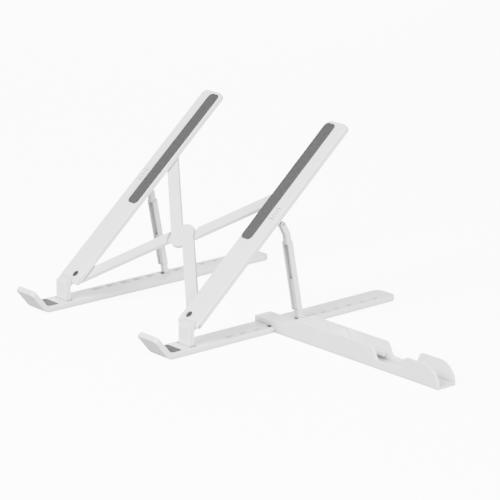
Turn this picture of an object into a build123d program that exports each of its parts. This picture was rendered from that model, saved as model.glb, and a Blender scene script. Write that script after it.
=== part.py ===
from build123d import *
import os
from math import asin, cos, degrees, hypot, radians, sin, tan

os.makedirs("parts", exist_ok=True)

# Folding laptop stand. X runs across the stand, Y from front to back, Z up, in millimetres.
# Each side is a flat rail with a turned-up front hook, a hinge post, a sloping arm and a strut.
# Two crossed braces join the arms, and a phone holder clips over the right-hand rail.
# Lengths below are in the stand's own frame: X = 0 midway between the rails, Y = 0 at the
# hook's bend and Z = 0 on the table. The origin of the written parts is the bottom centre.

# Driving dimensions
rail_x = 80.5
rail_width = 23.6
rail_bottom = 0.4
rail_top = 5.2
rail_back = 242.0
rail_corner = 7.0
hook_angle = 51.0
hook_length = 23.2
hook_bend = 9.5
post_width = 13.6
post_front = 21.1
post_back = 26.5
arm_x = 78.4
arm_width = 24.5
arm_length = 210.0
arm_thick = 5.1
arm_tilt = 40.8
arm_foot_y = 26.2
arm_foot_z = 21.9
hinge_s = 1.9
hinge_pin_r = 1.2
knuckle_r = 2.5
pad_x0 = 66.8
pad_x1 = 79.4
pad_s0 = 85.0
pad_s1 = 207.2
pad_sink = 0.6
pad_thick = 1.2
brace_x = 74.3
brace_s = 7.7
brace_length = 198.9
brace_width = 10.5
brace_offset = 4.85
brace_top = -5.4
brace_thick = 3.0
hub_r = 11.5
strut_x = 86.7
strut_width = 8.6
strut_front = 3.9
strut_rear = 1.1
strut_lean = 10.587
strut_pivot_s = 112.0
strut_pivot_h = -9.6
foot_y = 137.3
foot_z = 6.5
foot_r = 2.9
notch_count = 12
notch_pitch = 14.51
notch_first = 58.2
notch_width = 6.4
notch_x = 86.5
notch_depth = 2.7
notch_length = 10.15
holder_front = 105.8
holder_depth = 19.0
holder_end = 277.0
holder_top = 17.3
holder_wall = 2.0
running_gap = 0.05
play = 0.3


def block(x0, x1, y0, y1, z0, z1):
    """Box between two corners."""
    size = Box(x1 - x0, y1 - y0, z1 - z0)
    return Pos((x0 + x1) / 2, (y0 + y1) / 2, (z0 + z1) / 2) * size


def rod_x(radius, x0, x1, y, z):
    """Round rod along X."""
    return Pos((x0 + x1) / 2, y, z) * Rot(0, 90, 0) * Cylinder(radius, x1 - x0)


def rod_z(radius, x, y, z0, z1):
    """Round rod along Z."""
    return Pos(x, y, (z0 + z1) / 2) * Cylinder(radius, z1 - z0)


def side_plate(points, x0, x1):
    """Outline in Y and Z, carried along X from x0 to x1."""
    outline = make_face(Polyline(*points, close=True))
    return Pos(x0, 0, 0) * extrude(Plane.YZ * outline, x1 - x0)


def top_plate(outline, z0, z1):
    """Flat outline in X and Y, carried up from z0 to z1."""
    return Pos(0, 0, z0) * extrude(outline, z1 - z0)


# Frames and joint places worked out from the driving dimensions
tilt = radians(arm_tilt)
arm_frame = Plane(
    origin=(0, arm_foot_y, arm_foot_z),
    x_dir=(1, 0, 0),
    z_dir=(0, -sin(tilt), cos(tilt)),
)


def arm_point(s, h):
    """Y and Z of the point s along the arm and h above its top face."""
    y = arm_foot_y + s * cos(tilt) - h * sin(tilt)
    z = arm_foot_z + s * sin(tilt) + h * cos(tilt)
    return y, z


def on_arm(part):
    """Carry a part from the arm's flat frame to its place on the sloping arm."""
    return arm_frame.location * part


hinge_h = -arm_thick / 2
hinge_y, hinge_z = arm_point(hinge_s, hinge_h)
pivot_y, pivot_z = arm_point(strut_pivot_s, strut_pivot_h)
brace_bottom = brace_top - brace_thick
brace_mid = brace_top - brace_thick / 2
open_angle = asin(2 * brace_x / brace_length)
skew = asin(brace_offset / (brace_length / 2))
brace_reach = brace_length / 2 * cos(skew)
hub_s = brace_s + brace_length / 2 * cos(open_angle)
brace_high_s = brace_s + brace_length * cos(open_angle)
closed_gap = arm_width + 1.0 - 2 * (arm_x - brace_x)
closed_angle = asin(closed_gap / brace_length)

# Rail: one flat bar whose front end turns up into the hook that stops the laptop sliding
bend = radians(hook_angle)
hook_dir = (-cos(bend), sin(bend))
hook_in = (sin(bend), cos(bend))
rail_thick = rail_top - rail_bottom
corner_out = (-2.25, rail_bottom)
tip_out = (
    corner_out[0] + hook_length * hook_dir[0],
    corner_out[1] + hook_length * hook_dir[1],
)
tip_in = (tip_out[0] + rail_thick * hook_in[0], tip_out[1] + rail_thick * hook_in[1])
corner_in = (corner_out[0] + rail_thick * tan(bend / 2), rail_top)
rail_in = rail_x - rail_width / 2
rail_out = rail_x + rail_width / 2
rail_outline = make_face(
    Polyline(
        (rail_back, rail_bottom),
        corner_out,
        tip_out,
        tip_in,
        corner_in,
        (rail_back, rail_top),
        close=True,
    )
)
bend_out = rail_outline.vertices().sort_by_distance((*corner_out, 0))[0]
rail_outline = fillet(bend_out, hook_bend)
bend_in = rail_outline.vertices().sort_by_distance((*corner_in, 0))[0]
rail_outline = fillet(bend_in, hook_bend - rail_thick)
rail = Pos(rail_in, 0, 0) * extrude(Plane.YZ * rail_outline, rail_width)
back_edges = rail.edges().filter_by(Axis.Z).filter_by(lambda e: e.center().Y > rail_back - 1)
rail = fillet(back_edges, rail_corner)
tip_edges = rail.edges().filter_by(
    lambda e: e.center().Z > tip_out[1] - 1 and abs(e.length - rail_thick) < 0.1
    and abs(e.center().X - rail_x) > 5
)
rail = fillet(tip_edges, 3.0)
upper_face = rail.faces().filter_by(Axis.Z).sort_by(Axis.Z)[-1]
rail = fillet(upper_face.edges().filter_by(lambda e: e.center().Y > 20), 0.9)
lip_edges = rail.edges().filter_by(
    lambda e: e.center().Z > rail_top + 6
)
rail = fillet(lip_edges, 0.9)

# Notches: wedge pockets, steep at the front and running out to the back
notch_low = rail_top - notch_depth
for step in range(notch_count):
    front = notch_first + step * notch_pitch
    wedge = [
        (front, rail_top + 1),
        (front, notch_low),
        (front + 0.72 * notch_length, notch_low + 0.5),
        (front + notch_length, rail_top),
        (front + notch_length, rail_top + 1),
    ]
    rail -= side_plate(wedge, notch_x - notch_width / 2, notch_x + notch_width / 2)

# Sockets in the rail for the post, the hook pad and the two foot pads
socket_low = 1.8
rail -= block(
    rail_x - post_width / 2 - 2.2,
    rail_x + post_width / 2 + 2.2,
    post_front - 0.4,
    post_back + 1.2,
    socket_low,
    rail_top + 1,
)
hook_pad_outline = Pos(rail_x, 7.5) * RectangleRounded(18.4, 9.8, 2.0)
hook_pad_sink = 0.6
rail -= top_plate(hook_pad_outline, rail_top - hook_pad_sink, rail_top + 1)
hook_pad = top_plate(hook_pad_outline, rail_top - hook_pad_sink, rail_top + 0.5)
hook_pad = fillet(hook_pad.faces().sort_by(Axis.Z)[-1].edges(), 0.3)
foot_pad_sink = 0.8
foot_pad_spans = ((16.0, 56.0), (192.0, 232.0))
foot_pads = Part()
for near, far in foot_pad_spans:
    outline = Pos(rail_x, (near + far) / 2) * RectangleRounded(12.0, far - near, 5.9)
    foot_pads += top_plate(outline, 0, rail_bottom + foot_pad_sink)
rail -= foot_pads

# Hinge post: moulded upright whose foot stands in the socket; its knuckle carries the arm
post_low = post_width / 2
post_side = [
    (post_front, socket_low),
    (post_front, hinge_z - 1.6),
    (post_front + 0.8, hinge_z + 0.1),
    (post_front + 2.7, hinge_z + 0.9),
    (hinge_y - 1.3, hinge_z + 2.1),
    (hinge_y, hinge_z),
    (hinge_y - 0.5, hinge_z - 2.4),
    (post_back, hinge_z - 4.8),
    (post_back, socket_low),
]
post = side_plate(post_side, rail_x - post_low, rail_x + post_low)
post += rod_x(knuckle_r, rail_x - post_low, rail_x + post_low, hinge_y, hinge_z)
post_corners = post.edges().filter_by(Axis.Z).filter_by(
    lambda e: e.center().Y < post_front + 0.1 and e.length > 10
)
post = fillet(post_corners, 1.0)
post -= rod_x(hinge_pin_r + running_gap, rail_in - 9, rail_out + 9, hinge_y, hinge_z)

# Arm: flat tray strip, drawn lying flat with X across, Y along the arm and Z up from its face
arm_in = arm_x - arm_width / 2
arm_out = arm_x + arm_width / 2
arm = block(arm_in, arm_out, hinge_s - knuckle_r, arm_length, -arm_thick, 0)
arm = fillet(
    arm.edges().filter_by(Axis.Z).filter_by(lambda e: e.center().Y > arm_length - 1), 5.0
)
arm = fillet(
    arm.edges().filter_by(Axis.X).filter_by(lambda e: e.center().Y < 5), arm_thick / 2 - 0.05
)
arm = fillet(arm.faces().filter_by(Axis.Z).sort_by(Axis.Z)[-1].edges().filter_by(
    lambda e: e.center().Y > 5), 1.0)
slot_half = post_width / 2 + 0.5
arm -= block(rail_x - slot_half, rail_x + slot_half, -5, hinge_s, -9, 3)
arm -= rod_x(knuckle_r + play, rail_x - slot_half, rail_x + slot_half, hinge_s, hinge_h)
arm -= rod_x(hinge_pin_r, rail_x - slot_half - 4.5, arm_out + 1, hinge_s, hinge_h)
pad_outline = Pos((pad_x0 + pad_x1) / 2, (pad_s0 + pad_s1) / 2) * RectangleRounded(
    pad_x1 - pad_x0, pad_s1 - pad_s0, 4.2
)
arm -= top_plate(pad_outline, -pad_sink, 2)
screw_head_r = 2.8
screw_r = 1.6
head_seat = -1.6
arm -= rod_z(screw_head_r + play, brace_x, brace_s, head_seat, 2)
arm -= rod_z(screw_r + running_gap, brace_x, brace_s, -9, 2)
stud_r = 1.95
track_half = stud_r + 0.2
track_top = -2.9
track_end = brace_s + brace_length * cos(closed_angle)
track_mid = (brace_high_s + track_end) / 2
track = Pos(brace_x, track_mid) * SlotOverall(
    track_end - brace_high_s + 2 * track_half + 0.4, 2 * track_half, rotation=90
)
arm -= top_plate(track, -9, track_top)
neck_width = 4.9
neck_x = 86.85
neck_eye = 2.3
ear_low = strut_pivot_h - 2.5
strut_pin_r = 1.3
strut_pin_x0 = neck_x - neck_width / 2 - 2.0
ear_side = [
    (strut_pivot_s - 5.6, -arm_thick + 0.6),
    (strut_pivot_s - 5.6, -arm_thick),
    (strut_pivot_s - 2.6, strut_pivot_h - 1.6),
    (strut_pivot_s - 1.2, ear_low),
    (strut_pivot_s + 2.6, ear_low),
    (strut_pivot_s + 4.2, -arm_thick),
    (strut_pivot_s + 4.2, -arm_thick + 0.6),
]
ear_gap = neck_width / 2 + play
ear = side_plate(ear_side, neck_x - ear_gap - 2.0, neck_x - ear_gap)
mouth = [
    (strut_pivot_s, strut_pivot_h - strut_pin_r - running_gap),
    (strut_pivot_s + 6, strut_pivot_h - strut_pin_r - running_gap),
    (strut_pivot_s + 6, strut_pivot_h + strut_pin_r + 0.9),
    (strut_pivot_s, strut_pivot_h + strut_pin_r + running_gap),
]
ear -= side_plate(mouth, neck_x - 9, neck_x + 9)
ear -= rod_x(strut_pin_r + running_gap, neck_x - 9, neck_x + 9, strut_pivot_s, strut_pivot_h)
arm += ear
arm_pad = top_plate(pad_outline, -pad_sink, pad_thick - pad_sink)
arm_pad = fillet(arm_pad.faces().sort_by(Axis.Z)[-1].edges(), 0.4)
hinge_pin = rod_x(hinge_pin_r, rail_x - slot_half - 4.5, arm_out - 0.4, hinge_s, hinge_h)
strut_pin = rod_x(strut_pin_r, strut_pin_x0, neck_x + neck_width / 2 - 0.2, strut_pivot_s, strut_pivot_h)

# Strut: U-section prop with a narrower bent neck above its shoulder and a round toe
lean = radians(strut_lean)
strut_down = (sin(lean), -cos(lean))
strut_back = (cos(lean), sin(lean))


def strut_point(up, back):
    """Y and Z of the point up the strut from the toe and back from its middle line."""
    y = foot_y - up * strut_down[0] + back * strut_back[0]
    z = foot_z - up * strut_down[1] + back * strut_back[1]
    return y, z


shoulder_up = 66.3
toe_up = 6.3
channel = [
    strut_point(toe_up, -strut_front),
    strut_point(shoulder_up, -strut_front),
    strut_point(shoulder_up + 1.2, strut_rear),
    strut_point(toe_up, strut_rear),
]
strut = side_plate(channel, strut_x - strut_width / 2, strut_x + strut_width / 2)
strut = fillet(strut.edges().filter_by(lambda e: e.length > 50), 0.6)
groove_half = strut_width / 2 - 1.1
groove_floor = strut_rear - 1.4
groove = [
    strut_point(toe_up - 1, -strut_front - 1),
    strut_point(shoulder_up - 1.2, -strut_front - 1),
    strut_point(shoulder_up - 1.2, groove_floor),
    strut_point(toe_up - 1, groove_floor),
]
strut -= side_plate(groove, strut_x - groove_half, strut_x + groove_half)
step_up = 33.8
web = [
    strut_point(toe_up, -1.9),
    strut_point(step_up, -1.9),
    strut_point(step_up, groove_floor + 0.2),
    strut_point(toe_up, groove_floor + 0.2),
]
strut += side_plate(web, strut_x - groove_half, strut_x + groove_half)
toe = [
    strut_point(0, -foot_r),
    strut_point(toe_up + 0.5, -foot_r),
    strut_point(toe_up + 0.5, strut_rear),
    strut_point(0, strut_rear),
]
toe_half = 2.5
strut += side_plate(toe, notch_x - toe_half, notch_x + toe_half)
strut += rod_x(foot_r, notch_x - toe_half, notch_x + toe_half, foot_y, foot_z)
neck_half_thick = 2.45
bend_up = 73.6
bend_y, bend_z = strut_point(bend_up, -1.4)
neck_run = hypot(pivot_y - bend_y, pivot_z - bend_z)
neck_dir = ((pivot_y - bend_y) / neck_run, (pivot_z - bend_z) / neck_run)
neck_side = (neck_dir[1] * neck_half_thick, -neck_dir[0] * neck_half_thick)
eye_side = (neck_dir[1] * neck_eye, -neck_dir[0] * neck_eye)
neck = [
    strut_point(shoulder_up - 0.5, -1.4 - neck_half_thick),
    (bend_y - neck_side[0], bend_z - neck_side[1]),
    (pivot_y - eye_side[0], pivot_z - eye_side[1]),
    (pivot_y + eye_side[0], pivot_z + eye_side[1]),
    (bend_y + neck_side[0], bend_z + neck_side[1]),
    strut_point(shoulder_up - 0.5, -1.4 + neck_half_thick),
]
neck_half = neck_width / 2
strut += side_plate(neck, neck_x - neck_half, neck_x + neck_half)
strut += rod_x(neck_eye, neck_x - neck_half, neck_x + neck_half, pivot_y, pivot_z)
strut -= rod_x(strut_pin_r, neck_x - 9, neck_x + 9, pivot_y, pivot_z)

# Braces: two Z-shaped bars, half-lapped at a round hub so that they close side by side
hub_low = brace_mid - running_gap
hub_high = brace_mid + running_gap
hub_clear = 2 * brace_offset + 5.0
spigot_r = 4.0
boss_r = 7.5
boss_low = brace_bottom - 1.6


def brace_bar():
    """Bar lying along Y with its hub at the centre and its halves offset to either side."""
    outline = Sketch()
    for side in (-1, 1):
        middle = side * brace_reach / 2
        outline += Pos(side * brace_offset, middle) * Rectangle(brace_width, brace_reach)
        outline += Pos(side * brace_offset, side * brace_reach) * Circle(brace_width / 2)
    return top_plate(outline, brace_bottom, brace_top)


def turned(part, angle):
    """Turn a bar about its hub and carry it to the hub's place between the arms."""
    return Pos(0, hub_s, 0) * Rot(0, 0, -degrees(angle)) * part


brace_angle = open_angle - skew
lower_brace = brace_bar()
lower_brace -= rod_z(hub_clear, 0, 0, brace_mid, brace_top + 1)
lower_brace += rod_z(hub_r, 0, 0, brace_bottom, hub_low)
lower_brace += rod_z(boss_r, 0, 0, boss_low, hub_low)
lower_brace -= rod_z(spigot_r + running_gap, 0, 0, boss_low - 1, brace_top + 1)
upper_brace = brace_bar()
upper_brace -= rod_z(hub_clear, 0, 0, brace_bottom - 1, brace_mid)
upper_disc = rod_z(hub_r, 0, 0, hub_high, brace_top)
upper_brace += fillet(upper_disc.edges().sort_by(Axis.Z)[-1], 0.5)
upper_brace += rod_z(spigot_r, 0, 0, boss_low - 0.1, brace_mid + 0.5)
hub_screw_r = 1.5
hub_screw_top = brace_top - 0.9
upper_brace -= rod_z(hub_screw_r, 0, 0, boss_low - 1, hub_screw_top)
stud_low = brace_bottom + 1.0
screw_low = brace_bottom + 1.0
for bar_end in (-1, 1):
    radius = screw_r if bar_end < 0 else stud_r
    low = screw_low if bar_end < 0 else stud_low
    hole = rod_z(radius, bar_end * brace_offset, bar_end * brace_reach, low, brace_top + 1)
    lower_brace -= hole
    upper_brace -= hole
screw_seat = boss_low - 0.1
hub_screw = rod_z(hub_screw_r, 0, 0, screw_seat - 0.5, hub_screw_top)
hub_screw += rod_z(5.2, 0, 0, screw_seat - 1.3, screw_seat)
hub_screw = fillet(hub_screw.edges().sort_by(Axis.Z)[0], 0.6)
cross = Box(3.2, 0.7, 1.2) + Box(0.7, 3.2, 1.2)
hub_screw -= Pos(0, 0, screw_seat - 1.3) * cross
stud = rod_z(stud_r, brace_offset, brace_reach, stud_low, track_top - 0.3)
pivot_screw = rod_z(screw_r, -brace_offset, -brace_reach, screw_low, head_seat + 0.5)
head_low = head_seat + running_gap
head_high = head_low + 1.2
pivot_screw += rod_z(screw_head_r, -brace_offset, -brace_reach, head_low, head_high)
pivot_screw = fillet(pivot_screw.edges().sort_by(Axis.Z)[-1], 0.4)
pivot_screw -= Pos(-brace_offset, -brace_reach, head_high) * cross


def lower_bar(part):
    """Place a piece of the brace that starts at the left arm's foot."""
    return on_arm(turned(part, brace_angle))


def upper_bar(part):
    """Place a piece of the brace that starts at the right arm's foot."""
    return on_arm(mirror(turned(part, brace_angle), about=Plane.YZ))


# Phone holder: clip plate over the rail, closed deck, sloping throat and open channel
holder_back = holder_front + holder_depth
clip_in = 67.0
clip_low = rail_top + 0.2
clip_top = 9.2
clip_wall = rail_out + play
clip_edge = 95.6
deck_end = 157.0
throat_end = 172.0
floor_top = 2.6
low_wall = 6.8
holder_corners = (
    ((100.5, clip_top), 5.0),
    ((116.5, holder_top), 8.0),
    ((205.2, holder_top), 4.0),
    ((210.0, low_wall), 4.0),
    ((235.8, low_wall), 4.0),
    ((240.6, holder_top), 4.0),
    ((holder_end, holder_top), 16.0),
)
holder_side = make_face(
    Polyline(
        (clip_wall, rail_bottom),
        (clip_wall, clip_top),
        *(corner for corner, radius in holder_corners),
        (holder_end, rail_bottom),
        close=True,
    )
)
for corner, radius in holder_corners:
    vertex = holder_side.vertices().sort_by_distance((*corner, 0))[0]
    holder_side = fillet(vertex, radius)
holder = Pos(0, holder_back, 0) * extrude(Plane.XZ * holder_side, holder_depth)
holder_rims = holder.edges().filter_by(
    lambda e: e.center().Z > clip_top and abs(e.center().Y - holder_front - holder_depth / 2) > 9
)
holder_rims += holder.edges().filter_by(
    lambda e: 4 < e.center().Z < clip_top and e.center().X > clip_edge + 2
    and abs(e.center().Y - holder_front - holder_depth / 2) > 9
)
holder = fillet(holder_rims, 0.8)
channel_cut = Polyline(
    (deck_end, holder_top + 1),
    (deck_end, holder_top - 0.8),
    (throat_end, floor_top),
    (holder_end + 1, floor_top),
    (holder_end + 1, holder_top + 1),
    close=True,
)
inner_depth = holder_depth - 2 * holder_wall
cut = extrude(Plane.XZ * make_face(channel_cut), inner_depth)
holder -= Pos(0, holder_back - holder_wall, 0) * cut
deck_cut = Polyline(
    (clip_edge + 2, rail_bottom - 1),
    (clip_edge + 2, 7.2),
    (101.5, 7.2),
    (116.5, holder_top - 2.6),
    (deck_end - 2, holder_top - 2.8),
    (throat_end - 8, rail_bottom - 1),
    close=True,
)
hollow = extrude(Plane.XZ * make_face(deck_cut), inner_depth)
holder -= Pos(0, holder_back - holder_wall, 0) * hollow
clip = block(clip_in, clip_wall + 1, holder_front, holder_back - 1.6, clip_low, clip_top)
clip += block(clip_in, rail_in - play, holder_front, holder_back - 1.6, 1.2, clip_top)
clip_corners = clip.edges().filter_by(Axis.Z).filter_by(lambda e: e.center().X < clip_in + 0.1)
clip = fillet(clip_corners, 1.2)
holder += clip
cover_outline = Pos(139.0, holder_front + holder_depth / 2) * RectangleRounded(34.0, 12.4, 3.0)
cover_low = holder_top - 0.9
holder -= top_plate(cover_outline, cover_low, holder_top + 1)
holder_cover = top_plate(cover_outline, cover_low, holder_top - 0.15)
catch_back = holder_back - holder_wall
catch = block(190.0, 203.0, catch_back - 3.0, catch_back + 0.5, 5.2, 9.2)
catch_edges = catch.edges().filter_by(Axis.X).filter_by(lambda e: e.center().Y < catch_back - 2)
holder += fillet(catch_edges, 0.9)

# Place every piece, then write one file per piece with the origin at the bottom centre
centre_x = (holder_end - rail_out) / 2
centre_y = (rail_back + rail.bounding_box().min.Y) / 2


def write(name, part):
    """Move a piece so that the whole stand's bottom centre is the origin, and write it."""
    placed = Pos(-centre_x, -centre_y, 0) * part
    placed.label = name
    export_step(placed, f"parts/{name}.step")


for name, part in (
    ("rail", rail),
    ("hook_pad", hook_pad),
    ("foot_pads", foot_pads),
    ("hinge_post", post),
    ("arm", on_arm(arm)),
    ("arm_pad", on_arm(arm_pad)),
    ("hinge_pin", on_arm(hinge_pin)),
    ("strut", strut),
    ("strut_pin", on_arm(strut_pin)),
):
    write(f"{name}_right", part)
    write(f"{name}_left", mirror(part, about=Plane.YZ))

write("brace_lower", lower_bar(lower_brace))
write("pivot_screw_left", lower_bar(pivot_screw))
write("slide_stud_right", lower_bar(stud))
write("brace_upper", upper_bar(upper_brace))
write("pivot_screw_right", upper_bar(pivot_screw))
write("slide_stud_left", upper_bar(stud))
write("hub_screw", upper_bar(hub_screw))
write("phone_holder", holder)
write("holder_cover", holder_cover)
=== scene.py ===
from math import cos, radians, sin

import bpy
import numpy as np
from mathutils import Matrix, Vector


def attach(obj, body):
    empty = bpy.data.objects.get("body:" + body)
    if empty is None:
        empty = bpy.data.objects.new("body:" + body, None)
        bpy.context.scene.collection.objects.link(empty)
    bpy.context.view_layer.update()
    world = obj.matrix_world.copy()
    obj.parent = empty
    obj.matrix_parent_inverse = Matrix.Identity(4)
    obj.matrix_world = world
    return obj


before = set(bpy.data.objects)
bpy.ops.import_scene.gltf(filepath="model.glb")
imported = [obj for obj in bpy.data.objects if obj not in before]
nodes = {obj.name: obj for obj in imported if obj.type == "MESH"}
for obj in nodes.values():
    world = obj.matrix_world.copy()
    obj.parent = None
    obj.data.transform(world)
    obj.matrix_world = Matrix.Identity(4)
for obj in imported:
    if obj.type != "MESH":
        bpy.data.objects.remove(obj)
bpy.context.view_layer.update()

# The view: a long lens from the stand's right front, a little above the table, so
# that the near arm stands in front of the braces and the holder points at the viewer.
view_turn = radians(50.42)
view_rise = radians(15.07)
aim_from = Vector((-0.09235, -0.00276, 0.0800))
camera_distance = 2.0148
aim_right = 0.01833
aim_down = 0.01507
lens_mm = 176.7
sensor_mm = 36.0
farthest_seen = 20.0
towards = Vector((
    sin(view_turn) * cos(view_rise),
    -cos(view_turn) * cos(view_rise),
    sin(view_rise),
))
rightwards = Vector((cos(view_turn), sin(view_turn), 0.0))
upwards = towards.cross(rightwards)
look = -towards + aim_right * rightwards - aim_down * upwards
lens = bpy.data.cameras.new("camera")
lens.lens = lens_mm
lens.sensor_width = sensor_mm
lens.clip_end = farthest_seen
camera = bpy.data.objects.new("camera", lens)
bpy.context.collection.objects.link(camera)
camera.location = aim_from + camera_distance * towards
camera.rotation_euler = look.to_track_quat("-Z", "Y").to_euler()
bpy.context.scene.camera = camera

# The studio: a plain white table in a pale room, under one broad soft box high in front
# of the stand, a second one to its right and a third behind its left side.
table_half = 3.0
table_glow = 9.0
room_glow = 0.95
lamps_aim_at = Vector((-0.05, 0.0, 0.05))
floor_mesh = bpy.data.meshes.new("table_top")
floor_mesh.from_pydata(
    [
        (-table_half, -table_half, 0.0),
        (table_half, -table_half, 0.0),
        (table_half, table_half, 0.0),
        (-table_half, table_half, 0.0),
    ],
    [],
    [(0, 1, 2, 3)],
)
table_top = bpy.data.objects.new("table_top", floor_mesh)
bpy.context.collection.objects.link(table_top)
table_white = bpy.data.materials.new("table_white")
table_white.use_nodes = True
table_shader = table_white.node_tree.nodes["Principled BSDF"]
table_shader.inputs["Base Color"].default_value = (0.95, 0.95, 0.95, 1.0)
table_shader.inputs["Roughness"].default_value = 0.7
table_shader.inputs["Specular IOR Level"].default_value = 0.2
table_shader.inputs["Emission Color"].default_value = (1.0, 1.0, 1.0, 1.0)
table_shader.inputs["Emission Strength"].default_value = table_glow
floor_mesh.materials.append(table_white)
table_top.visible_diffuse = False
table_top.visible_glossy = False
room = bpy.data.worlds.new("room")
room.use_nodes = True
room.node_tree.nodes["Background"].inputs["Color"].default_value = (1.0, 1.0, 1.0, 1.0)
room.node_tree.nodes["Background"].inputs["Strength"].default_value = room_glow
bpy.context.scene.world = room
for name, place, size, watts in (
    ("soft_box_front", (0.0, -1.4, 1.1), 0.8, 84.0),
    ("soft_box_right", (1.9, -0.2, 0.55), 0.9, 88.0),
    ("soft_box_behind", (-1.7, 1.2, 0.5), 0.9, 26.0),
):
    lamp = bpy.data.lights.new(name, "AREA")
    lamp.shape = "SQUARE"
    lamp.size = size
    lamp.energy = watts
    lamp_object = bpy.data.objects.new(name, lamp)
    bpy.context.collection.objects.link(lamp_object)
    lamp_object.location = place
    facing = lamps_aim_at - Vector(place)
    lamp_object.rotation_euler = facing.to_track_quat("-Z", "Y").to_euler()

# Rails: injection-moulded white plastic bars with the hook moulded on the front end.
# The mould leaves a fine spark-eroded grain, and use polishes it where things slide.


def noise_from(tree, place, scale, detail):
    """Noise texture read at place: larger scale means smaller blotches."""
    noise = tree.nodes.new("ShaderNodeTexNoise")
    noise.inputs["Scale"].default_value = scale
    noise.inputs["Detail"].default_value = detail
    tree.links.new(place, noise.inputs["Vector"])
    return noise


def spread(tree, value, found, wanted):
    """Straight-line map of value from the pair found to the pair wanted, held at its ends."""
    line = tree.nodes.new("ShaderNodeMapRange")
    line.inputs["From Min"].default_value = found[0]
    line.inputs["From Max"].default_value = found[1]
    line.inputs["To Min"].default_value = wanted[0]
    line.inputs["To Max"].default_value = wanted[1]
    tree.links.new(value, line.inputs["Value"])
    return line


def bump_from(tree, height, strength, depth):
    """Bump whose full height is depth metres, weakened by strength."""
    bump = tree.nodes.new("ShaderNodeBump")
    bump.inputs["Strength"].default_value = strength
    bump.inputs["Distance"].default_value = depth
    tree.links.new(height, bump.inputs["Height"])
    return bump


def moulded_plastic(name, colour, grain_size, grain_depth, rough, scuff):
    """Moulded plastic. Colour = base, a few percent lighter or darker with a slow noise,
    and darker with painted shade in corners narrower than 6 mm, from an ambient occlusion
    node.
    Roughness = rough plus a middle-sized noise, less where fine scratches cross it.
    Height = fine even grain plus the gentle unevenness that cooling leaves."""
    plastic = bpy.data.materials.new(name)
    plastic.use_nodes = True
    tree = plastic.node_tree
    shader = tree.nodes["Principled BSDF"]
    place = tree.nodes.new("ShaderNodeTexCoord").outputs["Object"]
    slow = noise_from(tree, place, 28.0, 3.0)
    tint = tree.nodes.new("ShaderNodeValToRGB")
    tint.color_ramp.elements[0].position = 0.3
    tint.color_ramp.elements[0].color = (*(0.95 * c for c in colour), 1.0)
    tint.color_ramp.elements[1].position = 0.7
    tint.color_ramp.elements[1].color = (*colour, 1.0)
    tree.links.new(slow.outputs["Fac"], tint.inputs["Fac"])
    # Painted shade: where the ambient occlusion node finds other surfaces within 6 mm, the
    # base colour is mixed up to 85 percent towards near black.
    corners = tree.nodes.new("ShaderNodeAmbientOcclusion")
    corners.samples = 8
    corners.inputs["Distance"].default_value = 0.006
    corner_shade_amount = spread(tree, corners.outputs["AO"], (0.15, 0.75), (0.85, 0.0))
    corner_shade_mix = tree.nodes.new("ShaderNodeMix")
    corner_shade_mix.data_type = "RGBA"
    corner_shade_mix.inputs["B"].default_value = (0.07, 0.07, 0.072, 1.0)
    tree.links.new(corner_shade_amount.outputs["Result"], corner_shade_mix.inputs["Factor"])
    tree.links.new(tint.outputs["Color"], corner_shade_mix.inputs["A"])
    tree.links.new(corner_shade_mix.outputs["Result"], shader.inputs["Base Color"])
    patches = noise_from(tree, place, 160.0, 5.0)
    patches.inputs["Distortion"].default_value = 0.6
    shine = spread(tree, patches.outputs["Fac"], (0.3, 0.7), (rough - 0.05, rough + 0.06))
    stretch = tree.nodes.new("ShaderNodeMapping")
    stretch.inputs["Scale"].default_value = (9.0, 0.6, 9.0)
    tree.links.new(place, stretch.inputs["Vector"])
    strokes = noise_from(tree, stretch.outputs["Vector"], 60.0, 8.0)
    strokes.inputs["Roughness"].default_value = 0.75
    worn = spread(tree, strokes.outputs["Fac"], (0.62, 0.72), (0.0, scuff))
    sum_rough = tree.nodes.new("ShaderNodeMath")
    sum_rough.operation = "SUBTRACT"
    sum_rough.use_clamp = True
    tree.links.new(shine.outputs["Result"], sum_rough.inputs[0])
    tree.links.new(worn.outputs["Result"], sum_rough.inputs[1])
    tree.links.new(sum_rough.outputs["Value"], shader.inputs["Roughness"])
    grain = tree.nodes.new("ShaderNodeTexVoronoi")
    grain.inputs["Scale"].default_value = 1.0 / grain_size
    tree.links.new(place, grain.inputs["Vector"])
    cooling = noise_from(tree, place, 70.0, 2.0)
    broad = bump_from(tree, cooling.outputs["Fac"], 0.25, 0.00012)
    fine = bump_from(tree, grain.outputs["Distance"], 0.35, grain_depth)
    tree.links.new(broad.outputs["Normal"], fine.inputs["Normal"])
    tree.links.new(fine.outputs["Normal"], shader.inputs["Normal"])
    shader.inputs["IOR"].default_value = 1.5
    shader.inputs["Subsurface Weight"].default_value = 0.08
    shader.inputs["Subsurface Radius"].default_value = (0.002, 0.002, 0.002)
    return plastic


def finish_nodes(names, finish):
    """Give every material slot of the named pieces the one finish."""
    for name in names:
        mesh = nodes[name].data
        if not mesh.materials:
            mesh.materials.append(finish)
        for slot in range(len(mesh.materials)):
            mesh.materials[slot] = finish


rail_white = moulded_plastic(
    "rail_white", (0.83, 0.83, 0.835), 0.00035, 0.00002, 0.52, 0.10
)
finish_nodes(["rail_right", "rail_left"], rail_white)

# Hook pads: thin die-cut grey silicone strips glued into the seats behind the hooks,
# where the laptop's front edge stands.


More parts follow.
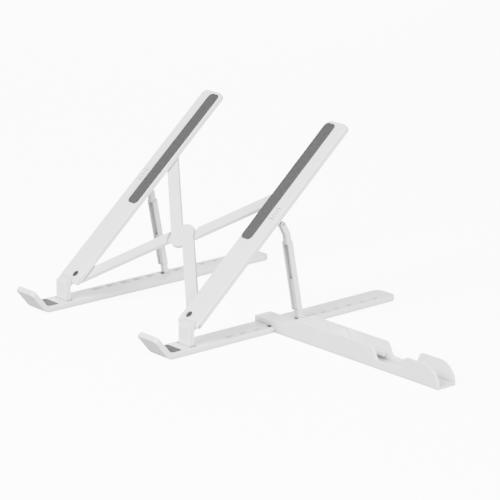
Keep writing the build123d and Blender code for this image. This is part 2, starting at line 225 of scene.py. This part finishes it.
def silicone(name, colour, rough, speck):
    """Cast silicone. Colour = base mottled by a fine noise, with paler dusty specks where
    a small noise peaks. Height = close cell pattern, so that it looks matte and soft."""
    rubber = bpy.data.materials.new(name)
    rubber.use_nodes = True
    tree = rubber.node_tree
    shader = tree.nodes["Principled BSDF"]
    place = tree.nodes.new("ShaderNodeTexCoord").outputs["Object"]
    mottle = noise_from(tree, place, 420.0, 6.0)
    tint = tree.nodes.new("ShaderNodeValToRGB")
    tint.color_ramp.elements[0].position = 0.35
    tint.color_ramp.elements[0].color = (*(0.86 * c for c in colour), 1.0)
    tint.color_ramp.elements[1].position = 0.65
    tint.color_ramp.elements[1].color = (*(1.1 * c for c in colour), 1.0)
    dust = tint.color_ramp.elements.new(0.78)
    dust.color = (*(min(1.0, c + speck) for c in colour), 1.0)
    tree.links.new(mottle.outputs["Fac"], tint.inputs["Fac"])
    tree.links.new(tint.outputs["Color"], shader.inputs["Base Color"])
    rubbed = noise_from(tree, place, 90.0, 4.0)
    shine = spread(tree, rubbed.outputs["Fac"], (0.3, 0.7), (rough - 0.08, rough + 0.08))
    tree.links.new(shine.outputs["Result"], shader.inputs["Roughness"])
    cells = tree.nodes.new("ShaderNodeTexVoronoi")
    cells.inputs["Scale"].default_value = 2200.0
    tree.links.new(place, cells.inputs["Vector"])
    bump = bump_from(tree, cells.outputs["Distance"], 0.5, 0.00004)
    tree.links.new(bump.outputs["Normal"], shader.inputs["Normal"])
    shader.inputs["Specular IOR Level"].default_value = 0.35
    return rubber


pad_grey = silicone("pad_grey", (0.038, 0.038, 0.04), 0.7, 0.02)
finish_nodes(["hook_pad_right", "hook_pad_left"], pad_grey)

# Foot pads: clear-white silicone strips let into the underside of each rail, which keep
# the rails off the table and stop them sliding.
foot_clear = silicone("foot_clear", (0.62, 0.62, 0.60), 0.5, 0.03)
finish_nodes(["foot_pads_right", "foot_pads_left"], foot_clear)

# Hinge posts: separately moulded uprights pushed into sockets in the rails. Their
# rounded knuckles sit in the slots at the arms' lower ends.
post_white = moulded_plastic(
    "post_white", (0.84, 0.84, 0.845), 0.0003, 0.00002, 0.38, 0.08
)
finish_nodes(["hinge_post_right", "hinge_post_left"], post_white)

# Arms: the two sloping bars that carry the laptop, moulded like the rails but with a
# slightly glossier top face, and tracked underneath for the braces' studs.
arm_white = moulded_plastic(
    "arm_white", (0.84, 0.84, 0.845), 0.00035, 0.000018, 0.36, 0.12
)
finish_nodes(["arm_right", "arm_left"], arm_white)

# Arm pads: long grey silicone strips glued into shallow seats along the arms' inner
# edges, on which the laptop lies.
finish_nodes(["arm_pad_right", "arm_pad_left"], pad_grey)

# Height marks: short grey ticks pad-printed on each arm beside its pad, which show how far
# the laptop's back edge reaches. Each set is a thin ink film: two long ticks with three
# short ones between them.
arm_rise = radians(40.8)
arm_foot = np.array([0.0, 0.0262 - 0.112758, 0.0219])
along_arm = np.array([0.0, cos(arm_rise), sin(arm_rise)])
off_arm = np.array([0.0, -sin(arm_rise), cos(arm_rise)])
ink_grey = silicone("ink_grey", (0.14, 0.14, 0.145), 0.45, 0.04)
ink_film = 0.00004
tick_starts = np.array([0.1090, 0.1116, 0.1142, 0.1168, 0.1194])
tick_widths = np.array([0.0056, 0.0030, 0.0030, 0.0030, 0.0056])
tick_length = 0.0008
marks_from_middle = 0.0845
middle_x = -0.09235


def printed_tick(u, v, start, width, mid_x):
    """Point of one tick's film for u across the arm and v along it, both from -1 to 1.
    Height = film thickness times (1 - u^6)(1 - v^6), so that the ink thins to nothing at
    its edges, as printed ink does."""
    across = mid_x + 0.5 * width * u
    along = start + 0.5 * tick_length * v
    high = ink_film * (1 - u**6) * (1 - v**6)
    return (
        arm_foot
        + across[..., None] * np.array([1.0, 0.0, 0.0])
        + along[..., None] * along_arm
        + high[..., None] * off_arm
    )


across_steps, along_steps = 9, 5
tick_u, tick_v = np.meshgrid(
    np.linspace(-1, 1, across_steps), np.linspace(-1, 1, along_steps), indexing="ij"
)
corner = np.arange((across_steps - 1) * along_steps).reshape(-1, along_steps)[:, :-1].ravel()
tick_faces = np.stack(
    [corner, corner + along_steps, corner + along_steps + 1, corner + 1], axis=1
)
for side, way in (("right", 1.0), ("left", -1.0)):
    mid_x = way * marks_from_middle + middle_x
    points = np.concatenate([
        printed_tick(tick_u, tick_v, start, width, mid_x).reshape(-1, 3)
        for start, width in zip(tick_starts, tick_widths)
    ])
    faces = np.concatenate([tick_faces + n * tick_u.size for n in range(len(tick_starts))])
    marks_mesh = bpy.data.meshes.new(f"height_marks_{side}")
    marks_mesh.from_pydata(points.tolist(), [], faces.tolist())
    marks_mesh.polygons.foreach_set("use_smooth", [True] * len(faces))
    marks_mesh.materials.append(ink_grey)
    height_marks = bpy.data.objects.new(f"height_marks_{side}", marks_mesh)
    bpy.context.collection.objects.link(height_marks)
    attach(height_marks, f"arm_{side}")

# Hinge pins and strut pins: plain steel pins with a fine lathe-turned finish, held by their
# fit. The first are pushed through the arms' lower ends and turn in the posts' knuckles;
# the second sit in the struts' necks and rest in the open ears under the arms.


def turned_steel(name, colour, rough):
    """Bright steel. Roughness and height follow a noise squeezed along X, which gives
    the close rings a lathe leaves; colour darkens a little in slow patches."""
    steel = bpy.data.materials.new(name)
    steel.use_nodes = True
    tree = steel.node_tree
    shader = tree.nodes["Principled BSDF"]
    place = tree.nodes.new("ShaderNodeTexCoord").outputs["Object"]
    squeeze = tree.nodes.new("ShaderNodeMapping")
    squeeze.inputs["Scale"].default_value = (40.0, 2.0, 2.0)
    tree.links.new(place, squeeze.inputs["Vector"])
    rings = noise_from(tree, squeeze.outputs["Vector"], 90.0, 4.0)
    shine = spread(tree, rings.outputs["Fac"], (0.0, 1.0), (rough - 0.1, rough + 0.12))
    tree.links.new(shine.outputs["Result"], shader.inputs["Roughness"])
    bump = bump_from(tree, rings.outputs["Fac"], 0.3, 0.00002)
    tree.links.new(bump.outputs["Normal"], shader.inputs["Normal"])
    stain = noise_from(tree, place, 300.0, 2.0)
    tint = tree.nodes.new("ShaderNodeValToRGB")
    tint.color_ramp.elements[0].color = (*(0.8 * c for c in colour), 1.0)
    tint.color_ramp.elements[1].color = (*colour, 1.0)
    tree.links.new(stain.outputs["Fac"], tint.inputs["Fac"])
    tree.links.new(tint.outputs["Color"], shader.inputs["Base Color"])
    shader.inputs["Metallic"].default_value = 1.0
    return steel


pin_steel = turned_steel("pin_steel", (0.66, 0.66, 0.67), 0.34)
finish_nodes(
    [
        "hinge_pin_right",
        "hinge_pin_left",
        "strut_pin_right",
        "strut_pin_left",
    ],
    pin_steel,
)

# Pivot and hub screws: cross-head steel screws blackened against rust. The pivot screws are
# set down in recesses in the arms, clear of the laptop, and the hub screw goes in from
# below; the arms and braces turn on their shanks.
screw_black = turned_steel("screw_black", (0.16, 0.16, 0.17), 0.42)
finish_nodes(["pivot_screw_right", "pivot_screw_left", "hub_screw"], screw_black)

# Struts: narrow moulded props with a grooved front, a bent neck at the top and a toe
# that stands in one of the rail's notches.
strut_white = moulded_plastic(
    "strut_white", (0.80, 0.80, 0.81), 0.0003, 0.00002, 0.42, 0.10
)
finish_nodes(["strut_right", "strut_left"], strut_white)

# Braces: two flat moulded bars, half-lapped at a round hub, that open and close like
# scissors and keep the arms level with each other.
brace_white = moulded_plastic(
    "brace_white", (0.81, 0.81, 0.82), 0.00035, 0.00002, 0.40, 0.10
)
finish_nodes(["brace_lower", "brace_upper"], brace_white)

# Slide studs: short turned pegs of slippery natural plastic in the braces' upper ends,
# which run in the tracks under the arms.
stud_white = moulded_plastic(
    "stud_white", (0.74, 0.73, 0.69), 0.0005, 0.00001, 0.3, 0.05
)
finish_nodes(["slide_stud_right", "slide_stud_left"], stud_white)

# Phone holder: one moulding that clips down over the rail, with a closed deck, a ramp
# and an open channel for the phone's edge. The small cover is pressed into the deck.
holder_white = moulded_plastic(
    "holder_white", (0.82, 0.82, 0.825), 0.00035, 0.00002, 0.48, 0.12
)
finish_nodes(["phone_holder"], holder_white)
cover_white = moulded_plastic(
    "cover_white", (0.80, 0.80, 0.805), 0.00025, 0.00002, 0.50, 0.08
)
finish_nodes(["holder_cover"], cover_white)
